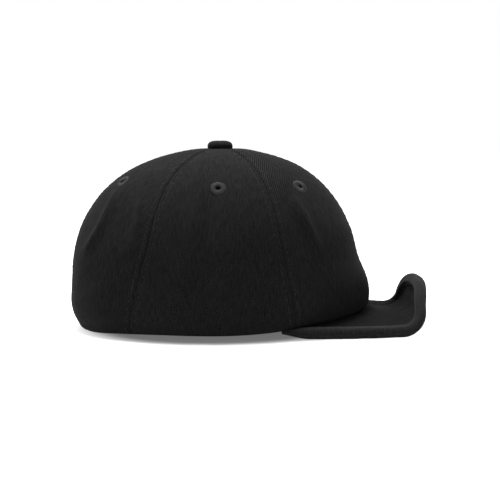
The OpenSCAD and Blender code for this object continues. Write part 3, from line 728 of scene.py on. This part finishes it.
def stitch_tree(material):
    tree = bpy.data.node_groups.new("stitch_rows", "GeometryNodeTree")
    ports = tree.interface
    ports.new_socket("Geometry", in_out="INPUT", socket_type="NodeSocketGeometry")
    for name in ("Pitch", "Length", "Thickness", "Wander"):
        ports.new_socket(name, in_out="INPUT", socket_type="NodeSocketFloat")
    ports.new_socket("Seed", in_out="INPUT", socket_type="NodeSocketInt")
    ports.new_socket("Geometry", in_out="OUTPUT", socket_type="NodeSocketGeometry")
    given = tree.nodes.new("NodeGroupInput").outputs
    line = put(tree, "GeometryNodeMeshToCurve", {"Mesh": given["Geometry"]})
    spaced = put(tree, "GeometryNodeResampleCurve", {"Curve": line, "Length": given["Pitch"]}, mode="LENGTH")
    thread = put(tree, "GeometryNodeMeshUVSphere", {"Segments": 8, "Rings": 6, "Radius": 0.5})
    thick = given["Thickness"]
    size = put(tree, "ShaderNodeCombineXYZ", {"X": given["Length"], "Y": thick, "Z": thick})
    sized = put(tree, "GeometryNodeTransform", {"Geometry": thread, "Scale": size})
    tangent = put(tree, "GeometryNodeInputTangent")
    along = put(tree, "FunctionNodeAlignRotationToVector", {"Vector": tangent}, axis="X")
    most = given["Wander"]
    bounds = {"Min": math_node(tree, "MULTIPLY", most, -1), "Max": most, "Seed": given["Seed"]}
    jitter = put(tree, "FunctionNodeRandomValue", bounds, "Value", data_type="FLOAT_VECTOR")
    askew = put(tree, "FunctionNodeEulerToRotation", {"Euler": jitter})
    turned = put(tree, "FunctionNodeRotateRotation", {"Rotation": along, "Rotate By": askew})
    placed = {"Points": spaced, "Instance": sized, "Rotation": turned}
    laid = put(tree, "GeometryNodeInstanceOnPoints", placed)
    real = put(tree, "GeometryNodeRealizeInstances", {"Geometry": laid})
    finish = put(tree, "GeometryNodeSetMaterial", {"Geometry": real, "Material": material})
    tree.links.new(finish, tree.nodes.new("NodeGroupOutput").inputs["Geometry"])
    return tree


# The stitches' black thread is a little lighter than the eyelets': its own black with a painted sheen
stitch_thread = thread_material("stitch_thread", (0.017, 0.017, 0.0175), 0.55)
stitch_nodes = stitch_tree(stitch_thread)


def stitch_rows(name, rows, pitch=2.9, length=2.3, thickness=0.38, wander=0.15, seed=1):
    """Rows of stitches along lines of points in mm, as one plain mesh."""
    points = np.concatenate([np.asarray(row) for row in rows])
    edges, first = [], 0
    for row in rows:
        edges += [(first + k, first + k + 1) for k in range(len(row) - 1)]
        first += len(row)
    mesh = bpy.data.meshes.new(name)
    mesh.from_pydata(set_down(points).tolist(), edges, [])
    obj = bpy.data.objects.new(name, mesh)
    bpy.context.collection.objects.link(obj)
    lay = obj.modifiers.new("stitches", "NODES")
    lay.node_group = stitch_nodes
    values = {"Pitch": pitch * MM, "Length": length * MM, "Thickness": thickness * MM,
              "Wander": wander, "Seed": seed}
    for item in stitch_nodes.interface.items_tree:
        if item.in_out == "INPUT" and item.name in values:
            lay[item.identifier] = values[item.name]
    bake(obj)
    obj.data.materials.pop(index=0)
    return obj


seam_rows = []
for side in (1, -1):
    for i in range(3):
        v = np.linspace(-0.93, 0.9, 220)[:, None]
        lo, hi = seam_a(i, v), seam_a(i + 1, v)
        width = rad(hi - lo) * np.linalg.norm(crown(lo, v, 0)[..., :2], axis=-1)
        for t in (stitch_off / width, 1 - stitch_off / width):
            seam_rows.append(panel_at(i, side, v, t)[0][:, 0])
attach(stitch_rows("seam_stitches", seam_rows), "cap")
# The roll's row lies on its upper inner edge, where the bias strip is caught down
edge_line = roll_rings(roll_w / 2 + 0.05, roll_t / 2 + 0.05, 420, 24, None, 86)[0][:, 10]
edge_stitches = stitch_rows("peak_edge_stitches", [edge_line], pitch=2.7, length=2.5, thickness=0.55, seed=3)
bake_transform(edge_stitches)


# ---- Seam tapes and front stiffeners -----------------------------------------------------------
# Inside the crown a narrow woven tape covers each seam's allowances. Between the tapes a piece of
# open, stiffened mesh is fused behind each front panel, so that the front stands up.
tape_t, tape_w, tape_end = 0.4, 12.0, 0.8
stiffener_top, stiffener_gap = 0.78, 1.17
tape_d = panel_t + layer_gap


def weave(name, color, pitch, strength, tone=0.35, rough=0.85, holes=0.0):
    """Plain weave by Object coordinates: crossed sets of threads, with a darker gap between them."""
    material, tree, bsdf = node_tree(name)
    place = put(tree, "ShaderNodeTexCoord", out="Object")
    askew = put(tree, "ShaderNodeMapping", {"Vector": place, "Rotation": (0.5, 0.3, 0.8)})
    waves = {"Vector": askew, "Scale": 2 * math.pi / 20 / (pitch * MM), "Distortion": 0.6}
    threads = [put(tree, "ShaderNodeTexWave", waves, "Fac", bands_direction=axis) for axis in "XYZ"]
    joined = math_node(tree, "MAXIMUM", math_node(tree, "MAXIMUM", threads[0], threads[1]), threads[2])
    bumped(tree, bsdf, joined, strength, 0.0003)
    toned(tree, bsdf, color, ranged(tree, joined, 1 - tone - holes, 1 + tone))
    feed(tree, bsdf, {"Roughness": rough, "Specular IOR Level": 0.2})
    return material


tape_cloth = weave("tape_cloth", (0.022, 0.022, 0.024), 0.9, 0.5)
buckram = weave("buckram", (0.42, 0.41, 0.38), 1.4, 0.8, 0.3, 0.8, 0.35)


def wall_sheet(name, lo, hi, v0, v1, d0, d1, rows, cols, material, node, side=1, relief=None):
    """A closed sheet inside the crown between directions lo(v) and hi(v) and depths d0 and d1."""
    vv, tt = np.meshgrid(np.linspace(v0, v1, rows), np.linspace(0, 1, cols), indexing="ij")
    a = lo(vv) + (hi(vv) - lo(vv)) * tt
    bump = 0 if relief is None else crown_normal(a, vv) * relief(a, vv, tt)[..., None]
    outer, inner = ((crown(a, vv, d) + bump) * [1, side, 1] for d in (d0, d1))
    piece = sheet_piece(name, outer, inner, material, side < 0)
    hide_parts(node)
    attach(piece, "cap")


def tape_half(i, v):
    flat = crown(seam_a(i, v), v, tape_d)
    return np.degrees(tape_w / 2 / np.hypot(flat[..., 0], flat[..., 1]))


def ripple(a, v, t):
    return 0.06 * np.sin(v * 60 + 3 * t)


def from_seam(i, share):
    """The direction at each row that lies share of a tape's half width past seam i."""
    return lambda v: seam_a(i, v) + tape_half(i, v) * share


for i, side, node in ((0, 1, "front_seam_tape"), (3, 1, "rear_seam_tape"), (1, 1, "front_side_tape_left"),
                      (1, -1, "front_side_tape_right"), (2, 1, "rear_side_tape_left"),
                      (2, -1, "rear_side_tape_right")):
    wall_sheet(node + "_cloth", from_seam(i, -1), from_seam(i, 1), -tape_end, tape_end, tape_d,
               tape_d + tape_t, 90, 7, tape_cloth, node, side, ripple)
for side, node in ((1, "front_stiffener_left"), (-1, "front_stiffener_right")):
    wall_sheet(node + "_mesh", from_seam(0, stiffener_gap), from_seam(1, -stiffener_gap), -tape_end,
               stiffener_top, tape_d, tape_d + tape_t, 80, 30, buckram, node, side)


# ---- Sweatband ---------------------------------------------------------------------------------
# A folded cotton band inside the hem, sewn along its lower edge. Behind the forehead it covers a
# thin foam pad, and at the rear it is gathered over a flat elastic.
band_h, band_low, band_t, elastic_t = 31.0, 0.6, 1.0, 0.8
elastic_d = tape_d + tape_t + layer_gap
band_d = elastic_d + elastic_t + layer_gap


def crown_low(a, above, d):
    """Points in mm at a height above the hem, below or a little above the widest level."""
    a, above = np.broadcast_arrays(np.asarray(a, float), np.asarray(above, float))
    z = hem_z(a) + above
    share = np.clip((z - widest) / (top_z - d - widest), 0, 1)
    v = np.where(z < widest, (z - widest) / (widest - hem_z(a)),
                 np.degrees(np.arcsin(share ** (crown_n / 2))) / 90)
    return crown(a, v, d)


def low_normal(a, above):
    across = crown_low(a + 0.3, above, 2) - crown_low(a - 0.3, above, 2)
    up = crown_low(a, above + 0.2, 2) - crown_low(a, above - 0.2, 2)
    n = np.cross(across, up)
    return n / np.linalg.norm(n, axis=-1, keepdims=True)


def low_grids(lo, hi, z0, z1, d0, d1, rows, cols, relief, closed=False):
    """Both faces of a sheet near the hem, from direction lo to hi and from z0 to z1 above the hem."""
    turn = np.linspace(lo, hi, cols, endpoint=not closed)
    rr, aa = np.meshgrid(np.linspace(0, 1, rows), turn, indexing="ij")
    above = z0 + (z1 - z0) * rr
    out, inn = relief(aa, rr)
    n = low_normal(aa, above)
    return crown_low(aa, above, d0) + n * out[..., None], crown_low(aa, above, d1) + n * inn[..., None]


def band_relief(a, u):
    gather = np.exp(-(np.maximum(0, np.abs(a - 180) - 30) / 8) ** 2)
    waves = 0.14 * gather * np.sin(a * 2.1 + 2 * np.sin(a * 0.31)) * np.sin(np.pi * u)
    edge = 0.3 * (np.exp(-(u / 0.05) ** 2) + np.exp(-((1 - u) / 0.05) ** 2))
    seam = 0.1 * np.exp(-((u - 0.12) / 0.02) ** 2)
    return waves - edge, waves * 1.3 + edge + seam


band_cotton = weave("band_cotton", (0.019, 0.019, 0.021), 0.8, 0.6)
band_faces = low_grids(0, 360, band_low, band_h, band_d, band_d + band_t, 30, 300, band_relief, True)
band = sheet_piece("sweatband_cotton", *band_faces, band_cotton, closed=True)
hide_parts("sweatband")
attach(band, "cap")
band_rows = []
for u in (0.12, 0.88):
    row = band_faces[1][round(u * 29)]
    band_rows.append(np.concatenate([row, row[:1]]))
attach(stitch_rows("sweatband_stitches", band_rows, pitch=3.2, seed=2), "cap")

elastic_knit = weave("elastic_knit", (0.012, 0.012, 0.013), 1.1, 0.9)
elastic_half, elastic_low, elastic_high = 40, 3, band_h - 8


def elastic_relief(a, u):
    rib = 0.08 * np.sin(u * 2 * math.pi * 9) + 0.05 * np.sin(a * 3.0)
    return rib - 0.08, -rib * 0.5 + 0.08


elastic_faces = low_grids(180 - elastic_half, 180 + elastic_half, elastic_low, elastic_high, elastic_d,
                          elastic_d + elastic_t, 60, 90, elastic_relief)
elastic = sheet_piece("rear_elastic_knit", *elastic_faces, elastic_knit)
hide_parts("rear_elastic")
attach(elastic, "cap")


# ---- Foam pads ---------------------------------------------------------------------------------
# Soft foam pads with a brushed cloth face: one behind the forehead, and a ring and four wall pads
# inside the hard insert. Each is cut flat, so its cover is blown up a little by a short cloth run.
insert_t, pad_t, forehead_t = 2.2, 5.0, 3.0
forehead_half, forehead_low, forehead_high = 43, 4.6, band_h - 3.6
forehead_d = band_d + band_t + layer_gap
pad_edge_t = 1.6
# How far a wall pad starts inside its space on its outer and inner face, so that it can swell
room_out, room_in = 0.5, 0.7
insert_d = tape_d + tape_t + layer_gap
pad_d = insert_d + insert_t + layer_gap


def inflate(obj, voxel, most, pressure=2.5):
    """Remeshes a pad evenly and lets the pressure inside it round its cover, by at most so many mm."""
    even = obj.modifiers.new("even", "REMESH")
    even.mode, even.voxel_size = "VOXEL", voxel * MM
    bake(obj)
    start = np.empty(len(obj.data.vertices) * 3)
    obj.data.vertices.foreach_get("co", start)
    cloth = obj.modifiers.new("cloth", "CLOTH")
    cloth.settings.use_pressure = True
    cloth.settings.uniform_pressure_force = pressure
    cloth.settings.mass = 0.02
    cloth.settings.effector_weights.gravity = 0
    scene = bpy.context.scene
    for step in range(1, 21):
        scene.frame_set(step)
    depsgraph = bpy.context.evaluated_depsgraph_get()
    puffed = obj.evaluated_get(depsgraph).to_mesh()
    end = np.empty_like(start)
    puffed.vertices.foreach_get("co", end)
    obj.modifiers.clear()
    move = (end - start).reshape(-1, 3)
    far = np.linalg.norm(move, axis=1, keepdims=True)
    move *= np.minimum(1, most * MM / np.maximum(far, 1e-9))
    obj.data.vertices.foreach_set("co", (start.reshape(-1, 3) + move).ravel())
    scene.frame_set(1)
    return float(far.mean() / MM), float(far.max() / MM)


def finish_pad(obj, node, voxel=1.9, most=0.7):
    print("pad", node, "moved by", inflate(obj, voxel, most), "mm before its limit")
    smooth = obj.modifiers.new("smooth", "SUBSURF")
    smooth.levels = 1
    bake(obj)
    obj.data.polygons.foreach_set("use_smooth", [True] * len(obj.data.polygons))
    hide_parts(node)
    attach(obj, "cap")


brushed_cover = weave("brushed_cover", (0.045, 0.046, 0.05), 0.7, 0.35, 0.2, 0.95)


def crowned(u, s):
    """How full a pad is at u up and s across it, both from -1 to 1: thin only at its rounded edge."""
    return (np.clip(1 - u ** 8, 0, 1) * np.clip(1 - s ** 8, 0, 1)) ** 0.5


def forehead_relief(a, u):
    full = crowned(2 * u - 1, a / forehead_half)
    return -0.5 - 0.9 * (1 - full), 0.5 + 1.2 * (1 - full)


forehead_faces = low_grids(-forehead_half, forehead_half, forehead_low, forehead_high, forehead_d,
                           forehead_d + forehead_t, 26, 70, forehead_relief)
finish_pad(sheet_piece("forehead_pad_foam", *forehead_faces, brushed_cover), "forehead_pad", 1.3, 0.35)


def pad_between(node, a, v, full, side=1, closed=False):
    """A pad inside the insert at directions a and rows v, down to its edge where full is 0."""
    thin = (1 - full) * (pad_t - pad_edge_t) / 2
    n = crown_normal(a, v)
    outer = (crown(a, v, pad_d) - n * (room_out + thin)[..., None]) * [1, side, 1]
    inner = (crown(a, v, pad_d + pad_t) + n * (room_in + thin)[..., None]) * [1, side, 1]
    finish_pad(sheet_piece(node + "_foam", outer, inner, brushed_cover, side < 0, closed), node)


def wall_pad(node, lo, hi, v0, v1, side=1, rows=34, cols=46):
    uu, ss = np.meshgrid(np.linspace(-1, 1, rows), np.linspace(-1, 1, cols), indexing="ij")
    narrow = 0.75 + 0.25 * np.sqrt(np.maximum(0, 1 - uu ** 2))
    a = (lo + hi) / 2 + (hi - lo) / 2 * 0.97 * narrow * ss
    pad_between(node, a, (v0 + v1) / 2 + (v1 - v0) / 2 * 0.97 * uu, crowned(uu, ss), side)


wall_pad("front_pad", -30, 30, 0.2, 0.66)
wall_pad("rear_pad", 150, 210, 0.12, 0.66)
wall_pad("side_pad_left", 62, 118, 0.14, 0.66)
wall_pad("side_pad_right", 62, 118, 0.14, 0.66, -1)


def ring_pad(node, v0, v1, rows=22, cols=150):
    around = np.linspace(0, 360, cols, endpoint=False)
    uu, aa = np.meshgrid(np.linspace(-1, 1, rows), around, indexing="ij")
    v = (v0 + v1) / 2 + (v1 - v0) / 2 * 0.95 * uu
    pad_between(node, aa, v, crowned(uu, 0 * uu), closed=True)


ring_pad("crown_pad", 0.74, 0.92)


# ---- Hard insert -------------------------------------------------------------------------------
# A thin moulded shell under the crown cloth, with round air holes and an opening under the button.
# Four webbing tabs sewn to the sweatband hold its rim, and it pulls out of them by hand.
insert_rise, insert_v1, vent_r = 36.0, 0.94, 4.0
tab_a, tab_half, tab_lap, tab_hold, tab_t = 52, 6, 9, 7, 0.9


def make_insert(rows=90, cols=420):
    around = np.linspace(0, 360, cols, endpoint=False)
    uu, aa = np.meshgrid(np.linspace(0, 1, rows), around, indexing="ij")
    share = (hem_z(aa) + insert_rise - widest) / (top_z - widest)
    v0 = np.degrees(np.arcsin(share ** (crown_n / 2))) / 90
    v = v0 + (insert_v1 - v0) * uu
    # Its rim and its top opening are rounded over
    thin = 0.5 * (np.exp(-(uu / 0.008) ** 2) + np.exp(-((1 - uu) / 0.012) ** 2))
    n = crown_normal(aa, v)
    outer = crown(aa, v, insert_d + 0.1) - n * thin[..., None]
    inner = crown(aa, v, insert_d + insert_t - 0.1) + n * thin[..., None]
    # Points next to a vent move onto its edge, and the cells inside it go
    vents = [(a, 0.8) for a in range(30, 360, 60)] + [(a, 0.36) for a in (45, 135, 225, 315)]
    gone = []
    for a, row in vents:
        centre, way = crown(a, row, insert_d), crown_normal(a, row)
        for face in (outer, inner):
            off = face - centre
            off -= (off @ way)[..., None] * way
            r = np.linalg.norm(off, axis=-1)
            close = np.abs(r - vent_r) < 0.45
            face[close] += (off * (vent_r / np.maximum(r, 1e-9) - 1)[..., None])[close]
        middles = (outer[:-1] + outer[1:]) / 2
        middles = (middles + np.roll(middles, -1, axis=1)) / 2
        off = middles - centre
        off -= (off @ way)[..., None] * way
        near = np.linalg.norm(middles - centre, axis=-1) < 3 * vent_r
        hit = near & (np.linalg.norm(off, axis=-1) < vent_r)
        gone += list(zip(*(k.tolist() for k in np.nonzero(hit))))
    shell = sheet_piece("insert_shell_moulded", outer, inner, shell_plastic, closed=True, gone=gone)
    shell.data.set_sharp_from_angle(angle=math.radians(42))
    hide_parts("insert_shell")
    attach(shell, "cap")


shell_plastic = moulded("shell_plastic", (0.028, 0.029, 0.032), 0.4, 1100)
make_insert()
webbing = weave("tab_webbing", (0.016, 0.016, 0.018), 1.0, 0.9)


def tab_relief(a, u):
    edge = 0.12 * np.exp(-(np.minimum(u, 1 - u) / 0.04) ** 2)
    rib = 0.04 * np.sin(u * 2 * math.pi * 14)
    return rib - edge, edge - rib


def make_tabs():
    tab_d = max(band_d + band_t, insert_d + insert_t) + layer_gap
    rows, cols = 60, 14
    points, faces = [], []
    for n, a in enumerate((tab_a, 180 - tab_a, 180 + tab_a, 360 - tab_a)):
        points += low_grids(a - tab_half, a + tab_half, band_h - tab_lap, insert_rise + tab_hold,
                            tab_d, tab_d + tab_t, rows, cols, tab_relief)
        faces += [tuple(2 * rows * cols * n + c for c in f) for f in sheet_faces(rows, cols)]
    tabs = new_piece("insert_tab_webbing", set_down(points), faces, webbing)
    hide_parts("insert_tabs")
    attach(tabs, "cap")


make_tabs()
